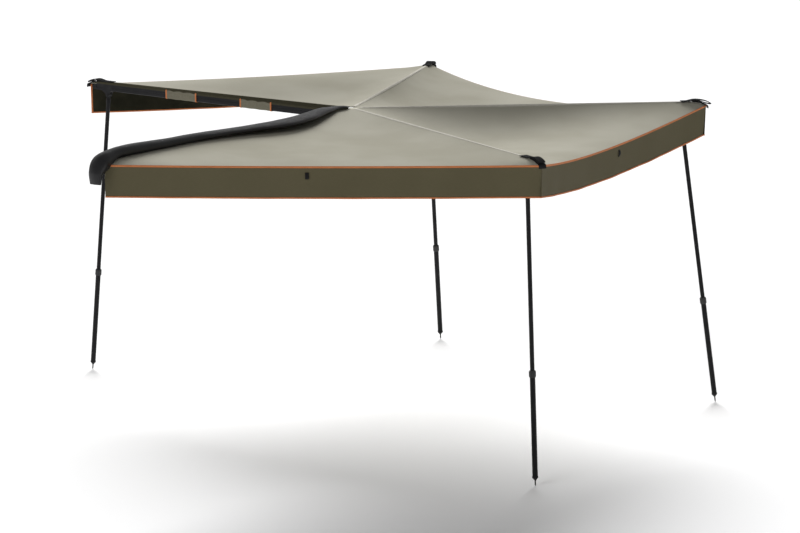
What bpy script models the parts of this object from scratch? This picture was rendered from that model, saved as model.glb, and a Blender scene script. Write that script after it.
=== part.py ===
# Fold-out vehicle side awning with four swing arms, 270 degrees, metres, +Z up
# Origin: centre of the underside of the rear rack bracket's foot
# A local arm frame has u outward along the arm, v sideways and w up, with w = 0 at the arms' top
import math

import bmesh
import bpy
from mathutils import Matrix, Vector

# Driving dimensions, metres and degrees
ARM_ANGLES = (67.5, 136.5, 204.5, 268.0)  # from the rail, round the hub
FOLDED_PITCH = 0.054  # arm to arm when folded
ARM_WIDTH = 0.040
ARM_HEIGHT = 0.056
ARM_WALL = 0.003
ARM_GROOVE_DEPTH = 0.0020
ARM_SHOULDER = 0.008
ARM_LOW_EDGE = 0.003
ARM_WAIST_SHARE = 0.52  # of the arm's height, below its top
ARM_BOLT_SHARE = 0.72
ARM_START = 0.118
HINGE_RADIUS = 2.165  # hub to pole hinge
TIP_SETBACK = 0.035  # arm's end to pole hinge
TIP_REACH = 0.120  # pole hinge to the middle of the tip's nose
CORNER_OVERHANG = 0.049  # nose to canopy corner
CORNER_DROP = 0.031
APEX_RISE = 0.027
RIDGE_RISE = 0.004  # canopy over the arm at the pole hinge
RIDGE_SPREAD = 0.220  # how far sideways an arm holds the canopy up
GROUND_DROP = 2.010  # arm top to ground
SPLAYS = (2.85, 7.3, 11.2, 6.0)  # outward lean of each pole, degrees
EDGE_SAG = (0.035, 0.100, 0.100, 0.010)
EDGE_DRAW = (0.100, 0.130, 0.130, 0.030)  # how far each hem curves in
VALANCE_HEIGHT = 0.190
VALANCE_FLARE = 0.012
CLOTH = 0.0015
GAP = 0.0003  # between faces that touch
JOINED = 0.001  # how far solids that are fused reach into each other
THROUGH = 0.010  # how far a cutter passes the face that it cuts

# Knuckle joints at the hub
NECK_HALF = 0.014
NECK_START = 0.024
HEAD_START = 0.085
EYE_RADIUS = 0.011
PIN_RADIUS = 0.005
PIN_HEAD_RADIUS = 0.009
PIN_HEAD_HEIGHT = 0.004
PIN_KEEPER = 0.005
MIDDLE_EYE_HEIGHT = 0.028
TONGUE_LENGTH = 0.060
BOLT_RADIUS = 0.003
BOLT_HEAD_RADIUS = 0.0055
BOLT_HEAD_HEIGHT = 0.003
NECK_CHAMFER = 0.004
HUB_CAP_RADIUS = 0.018
HUB_PLATE = 0.004
HUB_PLATE_SEAT = 0.040  # length of the plate that is fused to the neck
HUB_PLATE_MARGIN = 0.002
HUB_RISE = 0.001  # plate's clearance over the arms' necks

# Rail on the rack
RAIL_START = 0.100
RAIL_END = 2.420
RAIL_WIDTH = 0.050
RAIL_HEIGHT = 0.054
RAIL_OUTER = 0.012  # outer face from the hub line
RAIL_TOP = -0.004
RAIL_WALL = 0.003
RAIL_ROUND = 0.004
RAIL_BOLTS = (0.018, 0.044)  # from the rail's rear end
RAIL_BOLT_SHARE = 0.24  # of the rail's height, below its top
SLOT_MOUTH = 0.009
SLOT_WIDTH = 0.018
SLOT_DEPTH = 0.008
SLOT_LIP = 0.003
END_CAP = 0.004
END_PLUG = 0.020
RAIL_EDGE_OUT = 0.018  # canopy's front corner beside the rail
RAIL_EDGE_BACK = 0.005  # and how far it stays back from the rail's end

# Rack brackets
BRACKET_STATIONS = (0.550, 1.900)
BRACKET_LENGTH = 0.070
BRACKET_PLATE = 0.005
BRACKET_FOOT = 0.064
BRACKET_FOOT_DROP = 0.075
BRACKET_TOP = -0.010
BRACKET_HOLE = 0.0045
BRACKET_HOLE_SPREAD = 0.040
GUSSET = 0.022
FOOT_HOLE_SHARE = 0.55  # of the foot's width, from the upright
NUT_HEIGHT = 0.0052
BOLT_STANDS = 0.0075  # bolt's end above the bracket
TEE_HEAD = 0.005
TEE_CLEARANCE = 0.0012

# Arm tips and poles
TIP_NOSE = 0.015
TIP_NOSE_DROP = 0.038
TIP_SLOPE = 0.0125  # top of the tip casting falls this far before the nose
TIP_HALF = 0.018
HINGE_DROP = 0.082
LUG_RADIUS = 0.016
POLE_EYE = 0.014
POLE_EYE_HALF = 0.0097
HINGE_BOLT = 0.004
HINGE_HEAD_RADIUS = 0.0075
HINGE_HEAD_HEIGHT = 0.004
BOSS_HEAD_RADIUS = 0.006
FORK_CLEARANCE = 0.002
FORK_REACH = 0.040
POCKET_DEPTH = 0.003
POCKET_ROUND = 0.004
UPPER_RADIUS = 0.014
UPPER_WALL = 0.0015
POLE_OVERLAP = 0.120  # upper tube inside the leg, below the collar
FERRULE_RADIUS = 0.0165
FERRULE_TOP = 0.026
FERRULE_LENGTH = 0.030
FERRULE_EDGE = 0.003
LEG_RADIUS = 0.017
LEG_BORE = 0.0145
LEG_TOP = 1.225
COLLAR_RADIUS = 0.022
COLLAR_LENGTH = 0.042
COLLAR_RIM = 0.009  # collar above the leg's top
COLLAR_RIBS = 12
COLLAR_RIB_DEPTH = 0.0014
COLLAR_EDGE = 0.005
FOOT_FLANGE = 0.019
FOOT_LENGTH = 0.060
FOOT_PLUG = 0.030
SPIKE_RADIUS = 0.0045
SPIKE_POINT = 0.0012
STRAP_WIDTH = 0.040
STRAP = 0.0025
STRAP_BACK = 0.035  # strap's inner end to pole hinge
STRAP_KEEPER = 0.080  # pole hinge to the raised keeper
STRAP_OVER = 0.004  # how far the strap passes the canopy's corner
STRAP_HUMP = 0.014
SLEEVED_ARM = 4
SLEEVE_STATIONS = (0.815, 1.480)
SLEEVE_LENGTH = 0.275
SLEEVE = 0.0020
SLEEVE_ROUND = 0.0044

# Travel cover thrown back on the rail: share of the way to its end, middle sideways, half width, half height
COVER_STATIONS = (
    (0.012, -0.004, 0.010, 0.006),
    (0.066, -0.014, 0.032, 0.012),
    (0.124, 0.004, 0.050, 0.017),
    (0.186, 0.040, 0.064, 0.020),
    (0.248, 0.066, 0.072, 0.022),
    (0.330, 0.072, 0.076, 0.022),
    (0.413, 0.050, 0.068, 0.019),
    (0.496, 0.022, 0.060, 0.018),
    (0.579, 0.002, 0.054, 0.018),
    (0.744, -0.012, 0.045, 0.022),
    (0.888, -0.016, 0.029, 0.034),
    (0.963, -0.016, 0.029, 0.031),
)
COVER_ON_RAIL = 0.85  # from this share on the roll lies on the rail, beside the canopy
# Its front end, bent down: past the rail's end, above its top, half width, half height
COVER_BEND = (
    (-0.005, 0.032, 0.036, 0.024),
    (0.040, 0.006, 0.038, 0.020),
    (0.054, -0.036, 0.037, 0.017),
    (0.054, -0.100, 0.033, 0.012),
)
COVER_SIDES = 12

# Facets
ROUND = 20
PIN_SIDES = 12
BOLT_SIDES = 8
CLOTH_RADIAL = 9
CLOTH_ACROSS = 12
CLOTH_START = 0.010  # sewn centre left open round the cap, radius

FOOT_MIDDLE = RAIL_WIDTH - RAIL_OUTER + GAP + BRACKET_PLATE + BRACKET_FOOT / 2
HUB = Vector((BRACKET_STATIONS[0], -FOOT_MIDDLE, BRACKET_FOOT_DROP))
ARM_END = HINGE_RADIUS - TIP_SETBACK
TIP_END = HINGE_RADIUS + TIP_REACH
CORNER_RADIUS = TIP_END + CORNER_OVERHANG
ARMS = range(1, len(ARM_ANGLES) + 1)
ANGLES = (0.0,) + ARM_ANGLES  # the rail counts as arm 0


def clear_scene():
    for old in list(bpy.data.objects):
        bpy.data.objects.remove(old)


def collection(name):
    made = bpy.data.collections.new(name)
    bpy.context.scene.collection.children.link(made)
    return made


clear_scene()
PARTS = collection("vehicle_side_awning")
CUTTERS = collection("cutters")


def material(name, color, roughness, metallic):
    made = bpy.data.materials.new(name)
    made.use_nodes = True
    made.diffuse_color = (*color, 1)
    shader = made.node_tree.nodes["Principled BSDF"]
    shader.inputs["Base Color"].default_value = (*color, 1)
    shader.inputs["Roughness"].default_value = roughness
    shader.inputs["Metallic"].default_value = metallic
    return made


ANODISED = material("black_aluminium", (0.020, 0.020, 0.022), 0.35, 0.8)
CAST = material("black_casting", (0.025, 0.025, 0.027), 0.50, 0.4)
STEEL = material("bright_steel", (0.55, 0.55, 0.56), 0.30, 1.0)
COATED = material("coated_steel", (0.020, 0.020, 0.020), 0.45, 0.5)
PLASTIC = material("black_plastic", (0.020, 0.020, 0.020), 0.55, 0.0)
CANVAS = material("canopy_canvas", (0.38, 0.36, 0.31), 0.85, 0.0)
SKIRT = material("valance_canvas", (0.080, 0.070, 0.042), 0.85, 0.0)
VINYL = material("cover_vinyl", (0.015, 0.015, 0.017), 0.35, 0.0)
WEBBING = material("black_webbing", (0.015, 0.015, 0.015), 0.80, 0.0)


def keep(name, mesh, paint, place=None):
    """A part's own object, with its mesh in the frame that place gives."""
    made = bpy.data.objects.new(name, mesh)
    mesh.materials.append(paint)
    PARTS.objects.link(made)
    if place is not None:
        made.matrix_world = place
    return made


def tool(name, mesh, place=None):
    """A hidden solid that is cut from a part, or joined to it."""
    made = bpy.data.objects.new(name, mesh)
    CUTTERS.objects.link(made)
    made.hide_render = True
    made.display_type = "WIRE"
    if place is not None:
        made.matrix_world = place
    return made


def combine(part, other, operation):
    step = part.modifiers.new(other.name, "BOOLEAN")
    step.object = other
    step.operation = operation
    step.solver = "EXACT"


def finish_mesh(name, bm):
    bmesh.ops.recalc_face_normals(bm, faces=bm.faces)
    mesh = bpy.data.meshes.new(name)
    bm.to_mesh(mesh)
    bm.free()
    return mesh


def prism(name, outline, low, high, lay=None):
    """A closed outline pushed from low to high along its normal, then laid along an axis."""
    bm = bmesh.new()
    face = bm.faces.new([bm.verts.new((x, y, low)) for x, y in outline])
    grown = bmesh.ops.extrude_face_region(bm, geom=[face])["geom"]
    moved = [item for item in grown if isinstance(item, bmesh.types.BMVert)]
    bmesh.ops.translate(bm, verts=moved, vec=(0, 0, high - low))
    if lay is not None:
        bmesh.ops.transform(bm, matrix=lay, verts=bm.verts)
    return finish_mesh(name, bm)


# An outline drawn as (u, w) and pushed along v, and one drawn as (v, w) and pushed along u
ALONG_V = Matrix(((1, 0, 0, 0), (0, 0, -1, 0), (0, 1, 0, 0), (0, 0, 0, 1)))
ALONG_U = Matrix(((0, 0, 1, 0), (1, 0, 0, 0), (0, 1, 0, 0), (0, 0, 0, 1)))


def box(name, low, high):
    bm = bmesh.new()
    size = Vector(high) - Vector(low)
    bmesh.ops.create_cube(bm, size=1)
    bmesh.ops.scale(bm, vec=size, verts=bm.verts)
    bmesh.ops.translate(bm, vec=Vector(low) + size / 2, verts=bm.verts)
    return finish_mesh(name, bm)


def rod(name, radius, low, high, sides):
    """A solid cylinder along w, from low to high."""
    bm = bmesh.new()
    bmesh.ops.create_cone(
        bm, cap_ends=True, segments=sides, radius1=radius, radius2=radius, depth=high - low
    )
    bmesh.ops.translate(bm, vec=(0, 0, (low + high) / 2), verts=bm.verts)
    return finish_mesh(name, bm)


def profile(name, points, ring=False):
    """Half a section of a turned piece, as (radius, height) points from its top down."""
    mesh = bpy.data.meshes.new(name)
    edges = [(i, i + 1) for i in range(len(points) - 1)]
    if ring:
        edges.append((len(points) - 1, 0))
    mesh.from_pydata([(radius, 0, height) for radius, height in points], edges, [])
    return mesh


def turn(part, sides):
    """Turns a part's profile about the vertical axis of its frame."""
    lathe = part.modifiers.new("turned", "SCREW")
    lathe.axis = "Z"
    lathe.angle = math.tau
    lathe.steps = sides
    lathe.render_steps = sides
    lathe.use_merge_vertices = True
    lathe.merge_threshold = 1e-6
    return part


def clear_radius(radius, sides):
    """Corner radius of a faceted hole whose flats clear a rod of the radius."""
    return (radius + GAP) / math.cos(math.pi / sides)


def arc(middle, radius, start, stop, steps):
    """Points along an arc, from start to stop degrees."""
    angles = [math.radians(start + (stop - start) * i / steps) for i in range(steps + 1)]
    return [(middle[0] + radius * math.cos(a), middle[1] + radius * math.sin(a)) for a in angles]


def rounded(low, high, radius, steps=2):
    """A rectangle with round corners, from its low corner to its high corner."""
    corners = (
        ((high[0] - radius, low[1] + radius), -90),
        ((high[0] - radius, high[1] - radius), 0),
        ((low[0] + radius, high[1] - radius), 90),
        ((low[0] + radius, low[1] + radius), 180),
    )
    points = []
    for middle, start in corners:
        points += arc(middle, radius, start, start + 90, steps)
    return points


def arm_frame(angle):
    """The frame of an arm that leaves the hub at this angle from the rail."""
    return Matrix.Translation(HUB) @ Matrix.Rotation(math.radians(180 + angle), 4, "Z")


def half_step(index):
    """Half the angle that arm index swings through."""
    return math.radians(ANGLES[index] - ANGLES[index - 1]) / 2


def pin_station(index):
    """How far out along both arms the pin between arm index and the one before it stands."""
    return FOLDED_PITCH / 2 / math.tan(half_step(index))


def pivot(name, point, frame, parent=None):
    """An empty on a joint's axis, which the moving pieces hang from."""
    made = bpy.data.objects.new(name, None)
    made.empty_display_size = 0.05
    PARTS.objects.link(made)
    made.matrix_world = frame @ Matrix.Translation(point)
    if parent is not None:
        hang(made, parent)
    return made


def hang(child, parent):
    bpy.context.view_layer.update()
    child.parent = parent
    child.matrix_parent_inverse = parent.matrix_world.inverted()


def ridge_height(radius):
    """Top of the canopy over an arm: down from the hub, then over the tip to the corner."""
    slope = APEX_RISE + (RIDGE_RISE - APEX_RISE) * radius / HINGE_RADIUS
    past = max(0.0, (radius - HINGE_RADIUS) / (CORNER_RADIUS - HINGE_RADIUS))
    if past == 0.0:
        return slope
    return RIDGE_RISE - (RIDGE_RISE + CORNER_DROP) * past ** 3


def corner(index):
    """The canopy's corner at an arm, or beside the rail's front end."""
    if index == 0:
        return arm_frame(0) @ Vector((RAIL_END - RAIL_EDGE_BACK, RAIL_EDGE_OUT, -CORNER_DROP))
    return arm_frame(ANGLES[index]) @ Vector((CORNER_RADIUS, 0, -CORNER_DROP))


def hem(index, across):
    """Point on the outer edge of panel index, from the arm before it (0) to its arm (1)."""
    first, last = corner(index - 1), corner(index)
    chord = first.lerp(last, across)
    bow = 4 * across * (1 - across)
    inward = (HUB - (first + last) / 2) * Vector((1, 1, 0))
    inward.normalize()
    sag = Vector((0, 0, EDGE_SAG[index - 1] * bow ** 1.3))
    return chord + inward * EDGE_DRAW[index - 1] * bow - sag


def canopy_point(index, out, across):
    """Point on the top of panel index: straight from the hub to the hem, held up by the arms."""
    apex = HUB + Vector((0, 0, APEX_RISE))
    edge = hem(index, across)
    point = apex.lerp(edge, out)
    radius = out * CORNER_RADIUS
    lift = ridge_height(radius) - (APEX_RISE - out * (APEX_RISE + CORNER_DROP))
    swing = math.radians(ANGLES[index] - ANGLES[index - 1])
    aside = radius * math.sin(swing * min(across, 1 - across))
    beyond = max(0.0, aside - ARM_WIDTH / 2) / RIDGE_SPREAD
    return point + Vector((0, 0, lift * math.exp(-beyond * beyond)))


def seam_gap(index, point, across):
    """Moves the two side edges of a panel off the seam planes by half a gap."""
    side = 1 if across < 0.5 else -1
    angle = ANGLES[index - 1] if across < 0.5 else ANGLES[index]
    sideways = arm_frame(angle).to_3x3() @ Vector((0, side * GAP, 0))
    return point + sideways


def cloth_solid(name, rows, columns, place, drop):
    """A sheet laid out by place(out, across), closest columns at its sides, with its thickness along drop."""
    bm = bmesh.new()
    bmesh.ops.create_grid(bm, x_segments=columns, y_segments=rows, size=0.5)
    for vert in bm.verts:
        across = (1 - math.cos(math.pi * (vert.co.x + 0.5))) / 2
        vert.co = place(vert.co.y + 0.5, across)
    grown = bmesh.ops.extrude_face_region(bm, geom=bm.faces[:])["geom"]
    moved = [item for item in grown if isinstance(item, bmesh.types.BMVert)]
    for vert in moved:
        vert.co += drop(vert.co)
    return finish_mesh(name, bm)


def rail_outline():
    """Section of the rail, (v, w), with the T-slot in the back face."""
    back, top = RAIL_OUTER - RAIL_WIDTH, RAIL_TOP
    low = top - RAIL_HEIGHT
    middle = (top + low) / 2
    mouth, wide = SLOT_MOUTH / 2, SLOT_WIDTH / 2
    lip, deep = back + SLOT_LIP, back + SLOT_LIP + SLOT_DEPTH
    points = rounded((back, low), (RAIL_OUTER, top), RAIL_ROUND)
    slot = [
        (back, middle + mouth), (lip, middle + mouth), (lip, middle + wide), (deep, middle + wide),
        (deep, middle - wide), (lip, middle - wide), (lip, middle - mouth), (back, middle - mouth),
    ]
    corner_points = len(points) // 4
    return points[: 3 * corner_points] + slot + points[3 * corner_points:]


def rail_hollow(shrink=0.0):
    """Low and high corner (v, w) of the rail's closed chamber."""
    back = RAIL_OUTER - RAIL_WIDTH + SLOT_LIP + SLOT_DEPTH
    low = (back + RAIL_WALL + shrink, RAIL_TOP - RAIL_HEIGHT + RAIL_WALL + shrink)
    high = (RAIL_OUTER - RAIL_WALL - shrink, RAIL_TOP - RAIL_WALL - shrink)
    return low, high


def build_rail():
    frame = arm_frame(0)
    rail = keep("back_rail", prism("back_rail", rail_outline(), RAIL_START, RAIL_END, ALONG_U),
                ANODISED, frame)
    low, high = rail_hollow()
    chamber = box("rail_chamber", (RAIL_START - THROUGH, *low), (RAIL_END + THROUGH, *high))
    combine(rail, tool("rail_chamber", chamber, frame), "DIFFERENCE")

    low, high = rail_hollow(GAP)
    cap_start = RAIL_END + GAP
    outer = rounded((RAIL_OUTER - RAIL_WIDTH, RAIL_TOP - RAIL_HEIGHT), (RAIL_OUTER, RAIL_TOP), RAIL_ROUND)
    cap = keep("rail_end_cap",
               prism("rail_end_cap", outer, cap_start, cap_start + END_CAP, ALONG_U), PLASTIC, frame)
    plug = box("cap_plug", (RAIL_END - END_PLUG, *low), (cap_start + END_CAP / 2, *high))
    combine(cap, tool("cap_plug", plug, frame), "UNION")


def eye_outline(station, side):
    """A knuckle's eye and its web, (u, v), on one side of the arm's line."""
    edge = FOLDED_PITCH / 2
    inner = NECK_HALF - 3 * JOINED
    points = arc((station, edge), EYE_RADIUS, 0, 180, 5)
    points += [(station - EYE_RADIUS, inner), (station + EYE_RADIUS, inner)]
    return [(u, side * v) for u, v in points]


def add_eye(part, name, station, side, low, high, frame):
    solid = tool(name, prism(name, eye_outline(station, side), low, high), frame)
    combine(part, solid, "UNION")


def drill_pin(part, name, station, side, frame):
    hole = rod(name, clear_radius(PIN_RADIUS, PIN_SIDES), -ARM_HEIGHT - THROUGH, THROUGH, PIN_SIDES)
    spot = frame @ Matrix.Translation((station, side * FOLDED_PITCH / 2, 0))
    combine(part, tool(name, hole, spot), "DIFFERENCE")


def middle_levels():
    middle = -ARM_HEIGHT / 2
    return middle - MIDDLE_EYE_HEIGHT / 2, middle + MIDDLE_EYE_HEIGHT / 2


def add_outer_eyes(part, name, station, frame):
    """The pair of eyes that straddles the next arm's single eye."""
    low, high = middle_levels()
    add_eye(part, name + "_low_eye", station, 1, -ARM_HEIGHT, low - GAP, frame)
    add_eye(part, name + "_high_eye", station, 1, high + GAP, 0, frame)
    drill_pin(part, name + "_far_hole", station, 1, frame)


def neck_outline():
    """The neck that runs in to the hub centre, with its inner corners cut back."""
    return [
        (NECK_START, -NECK_HALF + NECK_CHAMFER), (NECK_START + NECK_CHAMFER, -NECK_HALF),
        (HEAD_START + JOINED, -NECK_HALF), (HEAD_START + JOINED, NECK_HALF),
        (NECK_START + NECK_CHAMFER, NECK_HALF), (NECK_START, NECK_HALF - NECK_CHAMFER),
    ]


def across_arm(frame, station, height, aside=0.0):
    """The frame of a bolt that lies across an arm."""
    return frame @ Matrix.Translation((station, aside, height)) @ Matrix.Rotation(math.pi / 2, 4, "X")


def drill(part, name, place, radius, half, sides=BOLT_SIDES):
    hole = rod(name, clear_radius(radius, sides), -half, half, sides)
    combine(part, tool(name, hole, place), "DIFFERENCE")


def add_bolt(part, name, place, radius, head, height, half):
    """Joins a bolt to the casting that it passes through, with a head at each end that starts at half."""
    shape = profile(name, [
        (0, half + height), (head, half + height), (head, half), (radius, half),
        (radius, -half), (head, -half), (head, -half - height), (0, -half - height),
    ])
    combine(part, turn(tool(name, shape, place), BOLT_SIDES), "UNION")


def root_bolt_stations():
    return (ARM_START + TONGUE_LENGTH * 0.3, ARM_START + TONGUE_LENGTH * 0.75)


def tip_bolt_stations():
    return (ARM_END - TONGUE_LENGTH * 0.75, ARM_END - TONGUE_LENGTH * 0.3)


def rail_bolt_height():
    return RAIL_TOP - RAIL_HEIGHT / 2


def build_hub_bracket():
    """The casting in the rail's rear end, which carries the first arm's pin."""
    frame = arm_frame(0)
    bracket = keep("hub_bracket", prism("hub_bracket", neck_outline(), -ARM_HEIGHT, 0), CAST, frame)
    back = RAIL_OUTER - RAIL_WIDTH
    head = box("hub_head", (HEAD_START, back, RAIL_TOP - RAIL_HEIGHT), (RAIL_START - GAP, RAIL_OUTER, 0))
    combine(bracket, tool("hub_head", head, frame), "UNION")
    low, high = rail_hollow(GAP)
    tongue = box("hub_tongue", (RAIL_START - 2 * JOINED, *low), (RAIL_START + TONGUE_LENGTH, *high))
    combine(bracket, tool("hub_tongue", tongue, frame), "UNION")
    station = pin_station(1)
    add_outer_eyes(bracket, "hub", station, frame)

    side = NECK_HALF - HUB_PLATE_MARGIN
    plate = box("hub_plate", (0, -side, -JOINED), (NECK_START + HUB_PLATE_SEAT, side, HUB_RISE + HUB_PLATE))
    combine(bracket, tool("hub_plate", plate, frame), "UNION")
    under = box("hub_plate_under", (-THROUGH, -NECK_HALF - THROUGH, -THROUGH),
                (NECK_START - GAP, NECK_HALF + THROUGH, HUB_RISE))
    combine(bracket, tool("hub_plate_under", under, frame), "DIFFERENCE")

    base = HUB_RISE + HUB_PLATE + GAP
    top = APEX_RISE - CLOTH - 2 * GAP
    rise = top - base
    dome = [(0, top)]
    dome += [(HUB_CAP_RADIUS * math.sin(math.radians(a)), base + rise * math.cos(math.radians(a)))
             for a in (20, 40, 60, 76)]
    dome += [(HUB_CAP_RADIUS, base + rise * 0.12), (HUB_CAP_RADIUS, base), (0, base)]
    turn(keep("hub_cap", profile("hub_cap", dome), PLASTIC, frame), ROUND)


def build_rail_bolts_and_brackets():
    frame = arm_frame(0)
    rail = bpy.data.objects["back_rail"]
    hub = bpy.data.objects["hub_bracket"]
    half = RAIL_WIDTH / 2
    middle = RAIL_OUTER - half
    for number, station in enumerate(RAIL_BOLTS, 1):
        place = across_arm(frame, RAIL_START + station, RAIL_TOP - RAIL_HEIGHT * RAIL_BOLT_SHARE, middle)
        drill(rail, f"rail_hole_{number}", place, BOLT_RADIUS, half + THROUGH)
        add_bolt(hub, f"hub_bolt_{number}", place, BOLT_RADIUS, BOLT_HEAD_RADIUS, BOLT_HEAD_HEIGHT,
                 half + GAP)

    back = RAIL_OUTER - RAIL_WIDTH - GAP
    plate = BRACKET_PLATE
    outline = [
        (back, BRACKET_TOP), (back, -BRACKET_FOOT_DROP), (back - plate - BRACKET_FOOT, -BRACKET_FOOT_DROP),
        (back - plate - BRACKET_FOOT, plate - BRACKET_FOOT_DROP), (back - plate, plate - BRACKET_FOOT_DROP),
        (back - plate, BRACKET_TOP),
    ]
    web_low = plate - BRACKET_FOOT_DROP
    upright = back - plate
    gusset = [(upright + JOINED, web_low - JOINED), (upright + JOINED, web_low + GUSSET),
              (upright, web_low + GUSSET), (upright - GUSSET, web_low), (upright - GUSSET, web_low - JOINED)]
    for name, station in zip(("rack_bracket_rear", "rack_bracket_front"), BRACKET_STATIONS):
        start, stop = station - BRACKET_LENGTH / 2, station + BRACKET_LENGTH / 2
        bracket = keep(name, prism(name, outline, start, stop, ALONG_U), COATED, frame)
        web = prism(name + "_gusset", gusset, station - plate / 2, station + plate / 2, ALONG_U)
        combine(bracket, tool(name + "_gusset", web, frame), "UNION")
        for sign in (-1, 1):
            along = station + sign * BRACKET_HOLE_SPREAD / 2
            hole = Vector((along, upright - BRACKET_FOOT * FOOT_HOLE_SHARE, -BRACKET_FOOT_DROP))
            foot = frame @ Matrix.Translation(hole)
            drill(bracket, f"{name}_foot_hole_{sign + 2}", foot, BRACKET_HOLE, plate + THROUGH)
            seat = across_arm(frame, along, rail_bolt_height(), upright)
            drill(bracket, f"{name}_rail_hole_{sign + 2}", seat, BOLT_RADIUS, plate + THROUGH)
            turn(keep(f"{name}_bolt_{(sign + 3) // 2}", tee_bolt(), STEEL, seat), BOLT_SIDES)


def tee_bolt():
    """A bolt from the rail's T-slot out through the bracket, with its nut; w points to the rack."""
    inner = -(BRACKET_PLATE + GAP + SLOT_LIP + GAP)
    head = SLOT_WIDTH / 2 - TEE_CLEARANCE
    end, nut = GAP + BOLT_STANDS, GAP + NUT_HEIGHT
    return profile("tee_bolt", [
        (0, end), (BOLT_RADIUS, end), (BOLT_RADIUS, nut), (BOLT_HEAD_RADIUS, nut), (BOLT_HEAD_RADIUS, GAP),
        (BOLT_RADIUS, GAP), (BOLT_RADIUS, inner), (head, inner), (head, inner - TEE_HEAD),
        (0, inner - TEE_HEAD),
    ])


def beam_outline():
    """Section of an arm, (v, w): a round-shouldered top half, a groove, and a plain lower half."""
    half, waist = ARM_WIDTH / 2, -ARM_HEIGHT * ARM_WAIST_SHARE
    groove = ARM_GROOVE_DEPTH
    lower = half - groove / 2
    right = [(lower - ARM_LOW_EDGE, -ARM_HEIGHT), (lower, -ARM_HEIGHT + ARM_LOW_EDGE),
             (lower, waist - groove), (half - groove, waist), (half, waist + groove)]
    right += arc((half - ARM_SHOULDER, -ARM_SHOULDER), ARM_SHOULDER, 0, 90, 4)
    return right + [(-v, w) for v, w in reversed(right)]


def beam_hollow(shrink):
    half = ARM_WIDTH / 2 - ARM_GROOVE_DEPTH - ARM_WALL - shrink
    return (-half, -ARM_HEIGHT + ARM_WALL + shrink), (half, -ARM_WALL - ARM_GROOVE_DEPTH - shrink)


def build_arm(index, parent):
    frame = arm_frame(ANGLES[index])
    name = f"arm_{index}"
    near = pin_station(index)
    axis = pivot(name + "_pivot", (near, -FOLDED_PITCH / 2, -ARM_HEIGHT / 2), frame, parent)

    beam = keep(name + "_beam", prism(name + "_beam", beam_outline(), ARM_START, ARM_END, ALONG_U),
                ANODISED, frame)
    low, high = beam_hollow(0)
    core = box(name + "_core", (ARM_START - THROUGH, *low), (ARM_END + THROUGH, *high))
    combine(beam, tool(name + "_core", core, frame), "DIFFERENCE")

    root = keep(name + "_root", prism(name + "_root", neck_outline(), -ARM_HEIGHT, 0), CAST, frame)
    head = prism(name + "_head", beam_outline(), HEAD_START, ARM_START - GAP, ALONG_U)
    combine(root, tool(name + "_head", head, frame), "UNION")
    low, high = beam_hollow(GAP)
    tongue = box(name + "_tongue", (ARM_START - 2 * JOINED, *low), (ARM_START + TONGUE_LENGTH, *high))
    combine(root, tool(name + "_tongue", tongue, frame), "UNION")
    add_eye(root, name + "_near_eye", near, -1, *middle_levels(), frame)
    drill_pin(root, name + "_near_hole", near, -1, frame)
    if index < len(ARM_ANGLES):
        add_outer_eyes(root, name, pin_station(index + 1), frame)

    tip = build_tip(name, frame)
    half = ARM_WIDTH / 2 - ARM_GROOVE_DEPTH / 2
    for holder, stations in ((root, root_bolt_stations()), (tip, tip_bolt_stations())):
        for number, station in enumerate(stations, 1):
            label = f"{holder.name}_bolt_{number}"
            place = across_arm(frame, station, -ARM_HEIGHT * ARM_BOLT_SHARE)
            drill(beam, label + "_beam_hole", place, BOLT_RADIUS, half + THROUGH)
            add_bolt(holder, label, place, BOLT_RADIUS, BOLT_HEAD_RADIUS, BOLT_HEAD_HEIGHT, half + GAP)
    hinge = across_arm(frame, HINGE_RADIUS, -HINGE_DROP)
    add_bolt(tip, name + "_hinge_bolt", hinge, HINGE_BOLT, HINGE_HEAD_RADIUS, HINGE_HEAD_HEIGHT,
             TIP_HALF - GAP)
    boss = across_arm(frame, TIP_END, -TIP_NOSE_DROP)
    add_bolt(tip, name + "_boss_bolt", boss, BOLT_RADIUS, BOSS_HEAD_RADIUS, BOLT_HEAD_HEIGHT, TIP_HALF - GAP)

    strap = build_strap(name, frame)
    hinge_line = frame @ Matrix.Translation((near, -FOLDED_PITCH / 2, 0))
    pin = turn(keep(f"pivot_pin_{index}", pin_profile(index), STEEL, hinge_line), PIN_SIDES)
    if parent is not None:
        hang(pin, parent)
    sleeves = build_sleeves(name, frame) if index == SLEEVED_ARM else []
    for part in [beam, root, tip, strap] + sleeves:
        hang(part, axis)
    build_pole(index, frame, axis)
    return axis


def pin_profile(index):
    """A headed pin with a turned keeper under the lower eye."""
    top, low = GAP, -ARM_HEIGHT - GAP
    keeper = low - PIN_KEEPER
    return profile(f"pivot_pin_{index}", [
        (0, top + PIN_HEAD_HEIGHT), (PIN_HEAD_RADIUS * 0.7, top + PIN_HEAD_HEIGHT),
        (PIN_HEAD_RADIUS, top + PIN_HEAD_HEIGHT * 0.5), (PIN_HEAD_RADIUS, top), (PIN_RADIUS, top),
        (PIN_RADIUS, low), (PIN_HEAD_RADIUS * 0.9, low), (PIN_HEAD_RADIUS * 0.9, keeper), (0, keeper),
    ])


def tip_outline():
    """Side view of the tip casting, (u, w): over the nose, back under, and down to the hinge lug."""
    lug = (HINGE_RADIUS, -HINGE_DROP)
    nose = (TIP_END, -TIP_NOSE_DROP)
    start = ARM_END + GAP
    points = [(start, 0), (HINGE_RADIUS + 0.01, 0), (TIP_END - 0.030, -TIP_SLOPE)]
    points += arc(nose, TIP_NOSE, 80, -100, 9)
    points += [(HINGE_RADIUS + 0.050, -ARM_HEIGHT)]
    points += arc(lug, LUG_RADIUS, 20, -200, 10)
    points += [(start, -ARM_HEIGHT)]
    return points


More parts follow.
